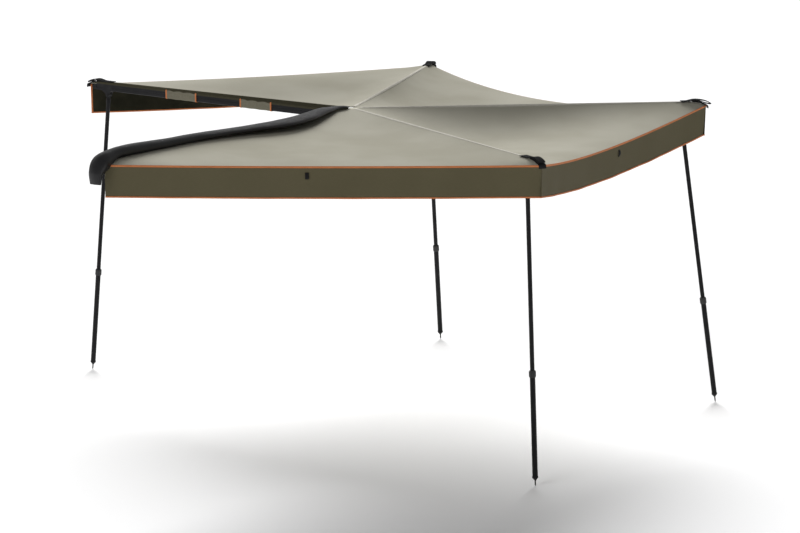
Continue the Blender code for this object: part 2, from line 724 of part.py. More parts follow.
def build_tip(name, frame):
    """The casting at an arm's end, with a fork for the pole's eye and a nose that stretches the corner."""
    mesh = prism(name + "_tip", tip_outline(), -TIP_HALF, TIP_HALF, ALONG_V)
    tip = keep(name + "_tip", mesh, CAST, frame)
    low, high = beam_hollow(GAP)
    tongue = box(name + "_tip_tongue", (ARM_END - TONGUE_LENGTH, *low), (ARM_END + 2 * JOINED, *high))
    combine(tip, tool(name + "_tip_tongue", tongue, frame), "UNION")
    fork = POLE_EYE_HALF + GAP
    top = -HINGE_DROP + POLE_EYE + FORK_CLEARANCE
    slot = box(name + "_fork", (HINGE_RADIUS - FORK_REACH, -fork, -HINGE_DROP - FORK_REACH),
               (HINGE_RADIUS + FORK_REACH, fork, top))
    combine(tip, tool(name + "_fork", slot, frame), "DIFFERENCE")
    for side in (-1, 1):
        edge = side * TIP_HALF
        pocket = rounded((HINGE_RADIUS + 0.008, -0.044), (TIP_END - 0.022, -0.018), POCKET_ROUND)
        cut = prism(f"{name}_pocket_{side + 2}", pocket, edge - POCKET_DEPTH, edge + POCKET_DEPTH, ALONG_V)
        combine(tip, tool(f"{name}_pocket_{side + 2}", cut, frame), "DIFFERENCE")
    return tip


def build_sleeves(name, frame):
    """Two canvas sleeves that hold the canopy's seam to the last arm."""
    half = ARM_WIDTH / 2 + GAP
    inner = rounded((-half, -ARM_HEIGHT - GAP), (half, GAP), SLEEVE_ROUND)
    low, high = (-half - SLEEVE, -ARM_HEIGHT - GAP - SLEEVE), (half + SLEEVE, GAP + SLEEVE)
    outer = rounded(low, high, SLEEVE_ROUND + SLEEVE)
    sleeves = []
    for number, station in enumerate(SLEEVE_STATIONS, 1):
        start, stop = station - SLEEVE_LENGTH / 2, station + SLEEVE_LENGTH / 2
        sleeve = f"{name}_sleeve_{number}"
        made = keep(sleeve, prism(sleeve, outer, start, stop, ALONG_U), SKIRT, frame)
        room = prism(sleeve + "_room", inner, start - THROUGH, stop + THROUGH, ALONG_U)
        combine(made, tool(sleeve + "_room", room, frame), "DIFFERENCE")
        sleeves.append(made)
    return sleeves


def build_strap(name, frame):
    """The webbing over the corner, sewn on along the ridge, with a raised keeper at the tip."""
    start, stop = HINGE_RADIUS - STRAP_BACK, CORNER_RADIUS + STRAP_OVER
    keeper = HINGE_RADIUS + STRAP_KEEPER
    count = 12
    low, high = [], []
    for i in range(count + 1):
        station = start + (stop - start) * i / count
        along = max(0.0, (station - keeper) / (stop - keeper))
        hump = STRAP_HUMP * math.sin(math.pi * min(along, 1.0)) ** 0.7 if 0 < along < 1 else 0.0
        base = ridge_height(min(station, CORNER_RADIUS)) + 2 * GAP
        low.append((station, base))
        high.append((station, base + STRAP + hump))
    outline = low + high[::-1]
    mesh = prism(name + "_strap", outline, -STRAP_WIDTH / 2, STRAP_WIDTH / 2, ALONG_V)
    return keep(f"corner_strap_{name[-1]}", mesh, WEBBING, frame)


def pole_extra(index):
    """How much further the leg of a leaning pole is drawn out to reach the ground."""
    drop = GROUND_DROP - HINGE_DROP
    return drop / math.cos(math.radians(SPLAYS[index - 1])) - drop


def build_pole(index, frame, arm_axis):
    """A two-part pole: eye and ferrule, upper tube, leg tube, twist collar and spiked foot."""
    name = f"pole_{index}"
    lean = Matrix.Rotation(-math.radians(SPLAYS[index - 1]), 4, "Y")
    place = frame @ Matrix.Translation((HINGE_RADIUS, 0, -HINGE_DROP)) @ lean
    axis = pivot(name + "_pivot", (0, 0, 0), place, arm_axis)
    extra = pole_extra(index)
    lower = place @ Matrix.Translation((0, 0, -extra))

    stem = POLE_EYE * 0.8
    stem_low = -FERRULE_TOP - FERRULE_EDGE - JOINED
    eye = arc((0, 0), POLE_EYE, -36.87, 216.87, 12) + [(-stem, stem_low), (stem, stem_low)]
    upper = keep(name + "_upper", prism(name + "_upper", eye, -POLE_EYE_HALF, POLE_EYE_HALF, ALONG_V),
                 ANODISED, place)
    bore = UPPER_RADIUS - UPPER_WALL
    bottom = -LEG_TOP - POLE_OVERLAP
    tube = profile(name + "_tube", [
        (0, -FERRULE_TOP), (FERRULE_RADIUS * 0.85, -FERRULE_TOP),
        (FERRULE_RADIUS, -FERRULE_TOP - FERRULE_EDGE), (FERRULE_RADIUS, -FERRULE_TOP - FERRULE_LENGTH),
        (UPPER_RADIUS, -FERRULE_TOP - FERRULE_LENGTH),
        (UPPER_RADIUS, bottom), (bore, bottom), (bore, -FERRULE_TOP - FERRULE_LENGTH),
        (0, -FERRULE_TOP - FERRULE_LENGTH),
    ])
    combine(upper, turn(tool(name + "_tube", tube, place), ROUND), "UNION")
    drill(upper, name + "_eye_hole", across_arm(place, 0, 0), HINGE_BOLT, POLE_EYE_HALF + THROUGH)

    foot_top = GROUND_DROP - HINGE_DROP - FOOT_LENGTH
    wall = profile(f"leg_{index}_tube", [
        (LEG_RADIUS, -LEG_TOP), (LEG_RADIUS, -foot_top), (LEG_BORE, -foot_top), (LEG_BORE, -LEG_TOP),
    ], ring=True)
    leg = turn(keep(f"leg_{index}_tube", wall, ANODISED, lower), ROUND)
    plug = LEG_BORE * math.cos(math.pi / ROUND) - GAP
    bottom = -(GROUND_DROP - HINGE_DROP)
    flange = -foot_top - GAP
    spike = profile(f"leg_{index}_foot", [
        (0, -foot_top + FOOT_PLUG), (plug, -foot_top + FOOT_PLUG), (plug, flange), (FOOT_FLANGE, flange),
        (FOOT_FLANGE, flange - 0.008), (LEG_RADIUS * 0.8, flange - 0.014), (SPIKE_RADIUS, flange - 0.026),
        (SPIKE_RADIUS, bottom + 0.009), (SPIKE_POINT, bottom), (0, bottom),
    ])
    foot = turn(keep(f"leg_{index}_foot", spike, COATED, lower), PIN_SIDES)

    collar = build_collar(f"collar_{index}", lower)
    slide = pivot(f"leg_{index}_slide", (0, 0, -LEG_TOP), lower, axis)
    twist = pivot(f"collar_{index}_twist", (0, 0, -LEG_TOP), lower, slide)
    hang(upper, axis)
    hang(leg, slide)
    hang(foot, slide)
    hang(collar, twist)


def build_collar(name, place):
    """A ribbed twist collar: a narrow lip round the upper tube and a skirt over the leg's end."""
    top = -LEG_TOP + COLLAR_RIM
    low = top - COLLAR_LENGTH
    skirt = clear_radius(LEG_RADIUS, ROUND)
    lip = clear_radius(UPPER_RADIUS, ROUND)
    step = -LEG_TOP + GAP
    valley = COLLAR_RADIUS - COLLAR_RIB_DEPTH
    ribs = []
    for number in range(2 * COLLAR_RIBS):
        radius = valley if number % 2 else COLLAR_RADIUS
        angle = math.pi * number / COLLAR_RIBS
        ribs.append((radius * math.cos(angle), radius * math.sin(angle)))
    collar = keep(name, prism(name, ribs, low + COLLAR_EDGE, top - COLLAR_EDGE), PLASTIC, place)
    core = profile(name + "_core", [
        (0, top), (valley - COLLAR_RIB_DEPTH, top), (valley, top - COLLAR_EDGE - JOINED),
        (valley, low + COLLAR_EDGE + JOINED), (valley - COLLAR_RIB_DEPTH, low), (0, low),
    ])
    combine(collar, turn(tool(name + "_core", core, place), 2 * COLLAR_RIBS), "UNION")
    bore = profile(name + "_bore", [
        (0, top + THROUGH), (lip, top + THROUGH), (lip, step),
        (skirt, step), (skirt, low - THROUGH), (0, low - THROUGH),
    ])
    combine(collar, turn(tool(name + "_bore", bore, place), ROUND), "DIFFERENCE")
    return collar


def build_panel(index, axis):
    start = CLOTH_START / CORNER_RADIUS

    def place(out, across):
        out = start + math.sin(math.pi / 2 * out) * (1 - start)
        point = canopy_point(index, out, across)
        if across < 1e-6 or across > 1 - 1e-6:
            point = seam_gap(index, point, across)
        return point

    down = Vector((0, 0, -CLOTH))
    mesh = cloth_solid(f"canopy_panel_{index}", CLOTH_RADIAL, CLOTH_ACROSS, place, lambda point: down)
    hang(keep(f"canopy_panel_{index}", mesh, CANVAS), axis)


def build_valance(index, axis):
    """The skirt under a panel's hem, which leans in a little towards its lower edge."""
    first, last = corner(index - 1), corner(index)
    inward = (HUB - (first + last) / 2) * Vector((1, 1, 0))
    inward.normalize()
    inset = 0.0006 / (last - first).length

    def place(out, across):
        point = hem(index, inset + across * (1 - 2 * inset)) - Vector((0, 0, CLOTH + GAP))
        return point - out * (Vector((0, 0, VALANCE_HEIGHT)) + inward * VALANCE_FLARE)

    middle = (first + last) / 2
    side = (last - first).normalized()

    def drop(point):
        share = (point - middle).dot(side) / (last - first).length * 2
        return inward * CLOTH - side * share * CLOTH

    mesh = cloth_solid(f"valance_{index}", 3, CLOTH_ACROSS, place, drop)
    hang(keep(f"valance_{index}", mesh, SKIRT), axis)


def build_cover():
    """The travel cover, thrown back and rolled along the rail, its front end hanging past the rail."""
    frame = arm_frame(0)
    stations = []
    for share, aside, wide, high in COVER_STATIONS:
        u = RAIL_END * share
        seat = RAIL_TOP + GAP if share > COVER_ON_RAIL else ridge_height(u) + CLOTH
        stations.append((u, aside, seat + high, wide, high))
    last = COVER_STATIONS[-1][1]
    for past, rise, wide, high in COVER_BEND:
        stations.append((RAIL_END + past, last, RAIL_TOP + rise, wide, high))
    path = [Vector(station[:3]) for station in stations]
    bm = bmesh.new()
    rings = []
    for number, (station, middle) in enumerate(zip(stations, path)):
        before, after = path[max(number - 1, 0)], path[min(number + 1, len(path) - 1)]
        ahead = (after - before).normalized()
        side = Vector((0, 1, 0))
        up = ahead.cross(side) * -1
        verts = []
        for step in range(COVER_SIDES):
            angle = math.tau * step / COVER_SIDES
            across = math.copysign(abs(math.cos(angle)) ** 0.8, math.cos(angle)) * station[3]
            rise = math.copysign(abs(math.sin(angle)) ** 0.8, math.sin(angle)) * station[4]
            verts.append(bm.verts.new(middle + side * across + up * rise))
        rings.append(verts)
    edges = [[bm.edges.new((a, b)) for a, b in zip(ring, ring[1:] + ring[:1])] for ring in rings]
    for first, second in zip(edges, edges[1:]):
        bmesh.ops.bridge_loops(bm, edges=first + second)
    bm.faces.new(rings[0])
    bm.faces.new(rings[-1][::-1])
    keep("travel_cover", finish_mesh("travel_cover", bm), VINYL, frame)


def build():
    build_rail()
    build_hub_bracket()
    build_rail_bolts_and_brackets()
    build_cover()
    axis = None
    for index in ARMS:
        axis = build_arm(index, axis)
        build_panel(index, axis)
        build_valance(index, axis)
    for part in PARTS.objects:
        if part.type == "MESH":
            part.data.shade_smooth()
            part.data.set_sharp_from_angle(angle=math.radians(35))


build()
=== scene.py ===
# Fold-out side awning for a vehicle's roof rack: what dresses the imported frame
import math

import bmesh
import bpy
from mathutils import Matrix, Vector


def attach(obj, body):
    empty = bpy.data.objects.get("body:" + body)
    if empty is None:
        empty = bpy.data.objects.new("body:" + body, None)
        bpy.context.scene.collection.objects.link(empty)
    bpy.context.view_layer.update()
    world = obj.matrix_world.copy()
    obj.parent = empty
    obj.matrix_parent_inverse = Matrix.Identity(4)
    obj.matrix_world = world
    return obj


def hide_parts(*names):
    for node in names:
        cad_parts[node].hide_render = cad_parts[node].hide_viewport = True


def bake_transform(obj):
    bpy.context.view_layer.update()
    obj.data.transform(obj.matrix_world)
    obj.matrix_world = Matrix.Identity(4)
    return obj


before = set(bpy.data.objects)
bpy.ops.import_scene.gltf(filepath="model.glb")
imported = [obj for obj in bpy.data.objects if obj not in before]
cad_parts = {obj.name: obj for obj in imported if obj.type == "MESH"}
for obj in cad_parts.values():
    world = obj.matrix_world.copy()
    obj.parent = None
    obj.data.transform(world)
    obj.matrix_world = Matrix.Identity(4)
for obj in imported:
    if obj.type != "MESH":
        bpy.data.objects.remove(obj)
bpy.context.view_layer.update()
scene = bpy.context.scene

# Camera
# It stands where the photograph was taken from: low, far off, in front of the rail's free end.
camera = bpy.data.objects.new("camera", bpy.data.cameras.new("camera"))
camera.data.lens = 191.28
camera.data.sensor_width = 36
camera.data.clip_end = 400
camera.location = (-20.67325, -16.95756, 4.18666)
camera.rotation_euler = [math.radians(turn) for turn in (79.2875, 0.34518, -52.2042)]
scene.collection.objects.link(camera)
scene.camera = camera
scene.view_settings.view_transform = "Standard"

# Studio
# A pale floor at the spikes' points and a white surround, with one soft lamp high behind the awning
# and a weak one in front of it.
ground = -1.9355
ambient = 0.13  # the surround's light on the awning; the camera sees it at full strength


class Flow:
    """What runs through a socket of a finish; sums and products of flows add the nodes that work them out."""

    def __init__(self, finish, socket):
        self.finish = finish
        self.socket = socket

    def result_of(self, operation, *values):
        """A math node's result; a value is a flow or a number."""
        return self.finish.node("ShaderNodeMath", {"operation": operation}, *values)

    def __add__(self, other):
        return self.result_of("ADD", self, other)

    __radd__ = __add__

    def __sub__(self, other):
        return self.result_of("SUBTRACT", self, other)

    def __rsub__(self, other):
        return self.result_of("SUBTRACT", other, self)

    def __mul__(self, other):
        return self.result_of("MULTIPLY", self, other)

    __rmul__ = __mul__

    def __truediv__(self, other):
        return self.result_of("DIVIDE", self, other)

    def __lt__(self, other):
        return self.result_of("LESS_THAN", self, other)

    def __gt__(self, other):
        return self.result_of("GREATER_THAN", self, other)

    def size(self):
        return self.result_of("ABSOLUTE", self)

    def repeat(self, length):
        """Up to the length and down again, over and over."""
        return self.result_of("PINGPONG", self, length)

    def soft(self, low, high):
        """0 below low, 1 above high, and smooth between them."""
        settings = {"interpolation_type": "SMOOTHSTEP"}
        return self.finish.node("ShaderNodeMapRange", settings, self, low, high)


class Finish:
    """A procedural finish for one kind of surface."""

    def __init__(self, name, color, roughness, metallic=0.0, specular=0.5):
        self.material = bpy.data.materials.new(name)
        self.material.use_nodes = True
        self.tree = self.material.node_tree
        self.shader = self.tree.nodes["Principled BSDF"]
        self.shader.inputs["Base Color"].default_value = (*color, 1)
        self.shader.inputs["Roughness"].default_value = roughness
        self.shader.inputs["Metallic"].default_value = metallic
        self.shader.inputs["Specular IOR Level"].default_value = specular

    def node(self, kind, settings, *values, output=0, **named):
        """Adds a node; values go to its first inputs and named ones to the inputs of those names."""
        made = self.tree.nodes.new(kind)
        for label, value in settings.items():
            setattr(made, label, value)
        for label, value in [*enumerate(values), *named.items()]:
            socket = made.inputs[label if isinstance(label, int) else label.replace("_", " ")]
            if isinstance(value, Flow):
                self.tree.links.new(value.socket, socket)
            else:
                socket.default_value = value
        return Flow(self, made.outputs[output])

    def noise(self, place, scale, detail=2.0, stretch=None):
        """Soft noise of 0 to 1, this many grains to a metre."""
        if stretch is not None:
            place = self.node("ShaderNodeMapping", {}, Vector=place, Scale=stretch)
        return self.node("ShaderNodeTexNoise", {}, Vector=place, Scale=scale, Detail=detail)

    def spot(self):
        """A point's place on the object, in metres."""
        return self.node("ShaderNodeTexCoord", {}, output="Object")

    def sheet_spot(self):
        """A point's place on its sheet laid flat, in metres, as one vector."""
        return self.node("ShaderNodeUVMap", {"uv_map": "cloth"})

    def sheet_place(self):
        """The same as two flows: across the sheet, and down it."""
        spot = self.sheet_spot()
        return [self.node("ShaderNodeSeparateXYZ", {}, spot, output=axis) for axis in ("X", "Y")]

    def blend(self, share, first, second):
        """A colour between two colours, or flows of colour."""
        made = self.tree.nodes.new("ShaderNodeMix")
        made.data_type = "RGBA"
        for socket, value in ((made.inputs[0], share), (made.inputs[6], first), (made.inputs[7], second)):
            if isinstance(value, Flow):
                self.tree.links.new(value.socket, socket)
            else:
                socket.default_value = value if socket.type == "VALUE" else (*value, 1)
        return Flow(self, made.outputs[2])

    def set(self, label, flow):
        """Feeds an input of the shader from a flow."""
        self.tree.links.new(flow.socket, self.shader.inputs[label])

    def emboss(self, height, distance, strength=1.0):
        """Raises the surface by a height of 0 to 1 times the distance in metres."""
        bump = self.node("ShaderNodeBump", {}, Strength=strength, Distance=distance, Height=height)
        self.set("Normal", bump)


floor_half = 160
floor_grid = bmesh.new()
bmesh.ops.create_grid(floor_grid, x_segments=1, y_segments=1, size=floor_half)
bmesh.ops.translate(floor_grid, vec=(20, 20, ground), verts=floor_grid.verts)
floor = bpy.data.objects.new("floor", bpy.data.meshes.new("floor"))
floor_grid.to_mesh(floor.data)
floor_grid.free()
scene.collection.objects.link(floor)
pale = Finish("studio_floor", (0.97, 0.97, 0.975), 0.95)
floor.data.materials.append(pale.material)

surround = bpy.data.worlds.new("surround")
surround.use_nodes = True
scene.world = surround
shade = surround.node_tree.nodes["Background"]
seen = surround.node_tree.nodes.new("ShaderNodeLightPath")
level = surround.node_tree.nodes.new("ShaderNodeMapRange")
level.inputs["To Min"].default_value = ambient
level.inputs["To Max"].default_value = 1.0
last = seen.outputs["Is Camera Ray"]
for ray, share in (("Is Glossy Ray", 0.35), ("Is Transmission Ray", 1.0)):
    part = surround.node_tree.nodes.new("ShaderNodeMath")
    part.operation = "MULTIPLY"
    part.inputs[1].default_value = share
    surround.node_tree.links.new(seen.outputs[ray], part.inputs[0])
    either = surround.node_tree.nodes.new("ShaderNodeMath")
    either.operation = "MAXIMUM"
    surround.node_tree.links.new(last, either.inputs[0])
    surround.node_tree.links.new(part.outputs[0], either.inputs[1])
    last = either.outputs[0]
surround.node_tree.links.new(last, level.inputs["Value"])
surround.node_tree.links.new(level.outputs[0], shade.inputs["Strength"])
shade.inputs["Color"].default_value = (1, 1, 1, 1)

for lamp_name, strength, spread, aim in (
    ("back_lamp", 5.8, 34, (60, 0, 129)),
    ("front_lamp", 0.85, 30, (58, 0, -92)),
):
    lamp = bpy.data.objects.new(lamp_name, bpy.data.lights.new(lamp_name, "SUN"))
    lamp.data.energy = strength
    lamp.data.angle = math.radians(spread)
    lamp.rotation_euler = [math.radians(turn) for turn in aim]
    lamp.visible_glossy = False
    scene.collection.objects.link(lamp)

# Rail, arms, poles
# Extruded aluminium, anodised black: satin, with faint grain and a little dust that dulls it in patches.


def dress(finish, *names):
    """Gives CAD pieces their finish; a name may stand for all that start or end with it."""
    for node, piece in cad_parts.items():
        if any(node == name or node.startswith(name) or node.endswith(name) for name in names):
            for place in piece.material_slots:
                place.material = finish.material


anodised = Finish("black_anodised", (0.013, 0.013, 0.015), 0.34, 0.3, specular=0.2)
dust = anodised.noise(anodised.spot(), 9.0, 3.0)
grain = anodised.noise(anodised.spot(), 900.0)
anodised.set("Roughness", 0.30 + dust * 0.14 + grain * 0.05)
anodised.set("Base Color", anodised.blend(
    dust.soft(0.4, 0.8), (0.007, 0.007, 0.008), (0.013, 0.013, 0.014)))
anodised.emboss(grain, 0.00004)
dress(anodised, "back_rail", "_beam", "_upper", "_tube")

# Knuckles and tips
# Castings bolted into the ends of the rail and the arms, powder coated black with a fine orange-peel surface.
powder = Finish("black_powder_coat", (0.016, 0.016, 0.017), 0.5, specular=0.18)
peel = powder.noise(powder.spot(), 420.0, 3.0)
worn = powder.noise(powder.spot(), 24.0, 4.0)
powder.set("Roughness", 0.42 + peel * 0.14 + worn * 0.08)
powder.set("Base Color", powder.blend(worn.soft(0.45, 0.75), (0.009, 0.009, 0.010), (0.017, 0.017, 0.018)))
powder.emboss(peel, 0.00015)
dress(powder, "hub_bracket", "_root", "_tip", "rack_bracket_rear", "rack_bracket_front", "_foot")

# Pins and bolts
# Zinc-plated steel, turned bright, a little cloudy.
zinc = Finish("zinc_plate", (0.56, 0.56, 0.57), 0.3, 1.0)
cloud = zinc.noise(zinc.spot(), 160.0, 4.0)
zinc.set("Roughness", 0.22 + cloud * 0.22)
zinc.set("Base Color", zinc.blend(cloud, (0.46, 0.46, 0.48), (0.62, 0.62, 0.62)))
zinc.emboss(cloud, 0.00003)
dress(zinc, "pivot_pin", "_bolt_1", "_bolt_2")

# Collars, caps
# Moulded black nylon, matt, with the fine grain of its mould.
nylon = Finish("black_nylon", (0.018, 0.018, 0.018), 0.55)
mould = nylon.noise(nylon.spot(), 700.0, 2.0)
nylon.set("Roughness", 0.5 + mould * 0.12)
nylon.set("Base Color", nylon.blend(mould, (0.014, 0.014, 0.014), (0.022, 0.022, 0.022)))
nylon.emboss(mould, 0.0001)
dress(nylon, "collar_", "hub_cap", "rail_end_cap")

# Canopy
# Four panels of coated ripstop canvas, sewn together along the arms and stretched from the hub to the tips.
# Each arm holds its seam up, and the cloth between falls in a shallow saddle to a hem that curves in.
hub = Vector((0.550, -0.0753, 0.075))
arm_angles = (0.0, 67.5, 136.5, 204.5, 268.0)
panels = (1, 2, 3, 4)
hinge_reach = 2.165
corner_reach = 2.334
rail_corner_out = 2.415
rail_corner_aside = 0.018
corner_fall = 0.023
centre_rise = 0.027
seam_rise = 0.004
hem_sag = (0.024, 0.100, 0.100, 0.010)
hem_draw = (0.100, 0.130, 0.130, 0.030)  # how far each hem curves in
sag_power = 1.02
slack_depth = (0.028, 0.080, 0.080, 0.115)
slack_place = (0.75, 1.0, 1.0, 1.0)  # below 1, the slack lies nearer to the hub
slack_edge = 0.75  # the lower, the steeper the cloth falls beside the arms
ridge_half = 0.010
ridge_spread = 0.16
canvas_thickness = 0.0008
centre_share = 0.006  # of a panel's length: the canopy stays open in its centre, over the round cap
ripstop = 0.008


def from_hub(angle):
    """The frame of an arm at this angle from the rail: out, sideways, up."""
    return Matrix.Translation(hub) @ Matrix.Rotation(math.radians(180 + angle), 4, "Z")


def canopy_corner(arm):
    """Where the canopy's hem meets an arm, or the rail's front end (arm 0)."""
    if arm == 0:
        return from_hub(0) @ Vector((rail_corner_out, rail_corner_aside, -corner_fall))
    return from_hub(arm_angles[arm]) @ Vector((corner_reach, 0, -corner_fall))


def inward(panel):
    """Level direction from the middle of a panel's hem to the hub."""
    middle = (canopy_corner(panel - 1) + canopy_corner(panel)) / 2
    return ((hub - middle) * Vector((1, 1, 0))).normalized()


def hem_length(panel):
    return (canopy_corner(panel) - canopy_corner(panel - 1)).length


def hem_point(panel, across):
    """Point on a panel's hem, from the arm before it (0) to its own arm (1)."""
    bow = 4 * across * (1 - across)
    point = canopy_corner(panel - 1).lerp(canopy_corner(panel), across)
    point += inward(panel) * hem_draw[panel - 1] * bow
    return point - Vector((0, 0, hem_sag[panel - 1] * bow ** sag_power))


def seam_height(reach):
    """Height of a seam over the arms' top: down from the hub, then over the tip to the corner."""
    past = max(0.0, (reach - hinge_reach) / (corner_reach - hinge_reach))
    if past:
        return seam_rise - (seam_rise + corner_fall) * past ** 3
    return centre_rise + (seam_rise - centre_rise) * reach / hinge_reach


def canopy_point(panel, across, out):
    """Point on a panel's top: straight from the hub to the hem, held up by the arms at its sides."""
    centre = hub + Vector((0, 0, centre_rise))
    point = centre.lerp(hem_point(panel, across), out)
    reach = out * corner_reach
    swing = math.radians(arm_angles[panel] - arm_angles[panel - 1])
    aside = reach * math.sin(swing * min(across, 1 - across))
    beyond = max(0.0, aside - ridge_half) / ridge_spread
    lift = seam_height(reach) - centre_rise + out * (centre_rise + corner_fall)
    slack = slack_depth[panel - 1] * math.sin(math.pi * out ** slack_place[panel - 1]) ** 2
    slack *= (4 * across * (1 - across)) ** slack_edge
    return point + Vector((0, 0, lift * math.exp(-beyond) - slack))


def cloth(name, columns, rows, place, size, finish, thickness, outside=None, span=(0.0, 1.0), even=True,
          painted_shade_inside=None):
    """A sheet whose points place(across, down) gives, with across over its span and down from 0 to 1.
    Its size is that of the cloth laid flat. Where it isn't even, its columns stand closer at both sides."""
    sheet = bmesh.new()
    bmesh.ops.create_grid(sheet, x_segments=columns, y_segments=rows, size=0.5)
    across_of = sheet.verts.layers.float.new("across")
    down_of = sheet.verts.layers.float.new("down")
    for vert in sheet.verts:
        share = vert.co.x + 0.5 if even else (1 - math.cos(math.pi * (vert.co.x + 0.5))) / 2
        across = span[0] + (span[1] - span[0]) * share
        vert[across_of], vert[down_of] = round(across, 6), vert.co.y + 0.5
        vert.co = place(across, vert.co.y + 0.5)
    flat = sheet.loops.layers.uv.new("cloth")
    for face in sheet.faces:
        for loop in face.loops:
            loop[flat].uv = (loop.vert[across_of] * size[0], loop.vert[down_of] * size[1])
    sheet.normal_update()
    if outside and sum(face.normal.dot(outside) for face in sheet.faces) < 0:
        bmesh.ops.reverse_faces(sheet, faces=sheet.faces)
    piece = bpy.data.objects.new(name, bpy.data.meshes.new(name))
    sheet.to_mesh(piece.data)
    sheet.free()
    scene.collection.objects.link(piece)
    piece.data.shade_smooth()
    piece.data.materials.append(finish.material)
    wall = piece.modifiers.new("thickness", "SOLIDIFY")
    wall.thickness = thickness
    wall.offset = -1
    # A second finish, when given, goes on the sheet's inner face; the valances use it for painted shade.
    if painted_shade_inside:
        piece.data.materials.append(painted_shade_inside.material)
        wall.material_offset = 1
    return piece


def fold_with_arms(piece, panel):
    """Bakes a sheet's placement into its mesh; the panel's two hem corners are worked out but not used."""
    start, end = tuple(canopy_corner(panel - 1)), tuple(canopy_corner(panel))
    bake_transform(piece)


canvas = Finish("canopy_canvas", (0.25, 0.24, 0.20), 0.8, specular=0.2)
along, down_it = canvas.sheet_place()
mottle = canvas.noise(canvas.spot(), 1.6, 3.0)
fine = canvas.noise(canvas.spot(), 55.0, 2.0)
rib = ((along / ripstop).repeat(0.5) > 0.42) + ((down_it / ripstop).repeat(0.5) > 0.42)
shade_of_cloth = canvas.blend(mottle.soft(0.30, 0.72), (0.318, 0.304, 0.248), (0.384, 0.370, 0.312))
canvas.set("Base Color", canvas.blend(rib * 0.10 + fine * 0.12, shade_of_cloth, (0.42, 0.41, 0.35)))
canvas.set("Roughness", 0.72 + fine * 0.12)
canvas.emboss(rib * 0.3 + fine, 0.0003, 0.6)

for panel in panels:
    def canopy_place(across, out, panel=panel):
        return canopy_point(panel, across, centre_share + math.sin(math.pi / 2 * out) * (1 - centre_share))

    sheet = cloth(f"canopy_cloth_{panel}", 72, 60, canopy_place, (hem_length(panel), corner_reach),
                  canvas, canvas_thickness, Vector((0, 0, 1)), even=False)
    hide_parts(f"canopy_panel_{panel}")
    fold_with_arms(sheet, panel)

# Seam tapes
# A tape of canvas is sewn over each of the three seams between panels, with a row of stitches by each
# of its edges. It is coloured paler than the canopy as a painted highlight, for the light its raised crown
# catches.
tape_width = 0.026
tape_length = 2.254
tape_start, tape_run = 0.024, 0.966  # shares of the seam
tape_rise, tape_crown = 0.0008, 0.0010
stitch_row = (0.0092, 0.0102)  # from the tape's middle
stitch_pitch = 0.0045


def beside_seam(arm, aside, out):
    """Point on the canopy this far from an arm's seam, before the arm (negative) or after it."""
    panel = arm if aside < 0 else arm + 1
    half_swing = math.radians(arm_angles[panel] - arm_angles[panel - 1]) / 2
    share = min(0.5, abs(aside) / (hem_length(panel) * out * math.cos(half_swing)))
    return canopy_point(panel, 1 - share if aside < 0 else share, out)


# Painted highlight: the tape's pale colour stands in for the light that the raised seam catches.
seam_highlight_canvas = Finish("seam_canvas", (0.45, 0.44, 0.39), 0.75, specular=0.3)
along, down_it = seam_highlight_canvas.sheet_place()
edge = (along - tape_width / 2).size()
stitch = (edge > stitch_row[0]) * (edge < stitch_row[1]) * ((down_it / stitch_pitch).repeat(0.5) > 0.14)
wear = seam_highlight_canvas.noise(seam_highlight_canvas.spot(), 30.0, 3.0)
seam_highlight_canvas.set("Base Color", seam_highlight_canvas.blend(
    stitch, seam_highlight_canvas.blend(wear, (0.50, 0.48, 0.42), (0.62, 0.60, 0.54)), (0.22, 0.21, 0.17)))
seam_highlight_canvas.emboss(1 - stitch, 0.0004)

for arm in (1, 2, 3):
    def seam_place(across, down, arm=arm):
        aside = (across - 0.5) * tape_width
        crown = 1 - (2 * across - 1) ** 2
        point = beside_seam(arm, aside, tape_start + tape_run * down)
        return point + Vector((0, 0, tape_rise + tape_crown * crown))

    seam_tape = cloth(f"seam_tape_{arm}", 10, 110, seam_place, (tape_width, tape_length), seam_highlight_canvas,
                      canvas_thickness, Vector((0, 0, 1)))
    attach(seam_tape, f"arm_{arm}")

# Valances
# A skirt of dark olive canvas under each hem, bound along its top and bottom edges with burnt-orange tape.
# It hangs almost straight and turns in a little towards its lower edge; the end by the last arm is bound too.
valance_drop = 0.200
valance_lean = 0.012
valance_start = 0.0012  # below the hem
ripple_depth = 0.0022
long_ripple, short_ripple = 11, 23  # radians to a metre of hem
thread_pitch = 0.0035
top_width = 0.0125  # of the bindings
low_width = 0.010
end_width = 0.0045  # as a share of the last hem
tape_thickness = 0.0010
folded_tape = 0.0040  # the tape on both sides of the canvas
top_lift, top_bulge = 0.0008, 0.0022  # how far the tapes stand off the hem and the valance
low_lift, low_bulge = 0.0014, 0.0012


def valance_point(panel, across, down):
    """Point on a valance: down 0 is its top edge, just under the hem."""
    length = hem_length(panel)
    ripple = math.sin(across * length * long_ripple + panel)
    ripple += 0.6 * math.sin(across * length * short_ripple + 2 * panel)
    ends = min(1.0, 12 * across * (1 - across))
    lean = valance_lean * down + ripple_depth * ripple * down * ends
    point = hem_point(panel, across)
    return point + inward(panel) * lean - Vector((0, 0, valance_start + valance_drop * down))


skirt = Finish("valance_canvas", (0.10, 0.09, 0.055), 0.8, specular=0.12)
along, down_it = skirt.sheet_place()
thread = (along / thread_pitch).repeat(0.5) + (down_it / thread_pitch).repeat(0.5)
slub = skirt.noise(skirt.sheet_spot(), 40.0, 3.0, (1.0, 9.0, 1.0))
tone = skirt.noise(skirt.spot(), 2.2, 3.0)
skirt.set("Base Color", skirt.blend(
    slub * 0.5 + tone * 0.5, (0.084, 0.073, 0.040), (0.132, 0.117, 0.070)))
skirt.set("Roughness", 0.72 + slub * 0.14)
skirt.emboss(thread * 0.4 + slub, 0.0004, 0.7)

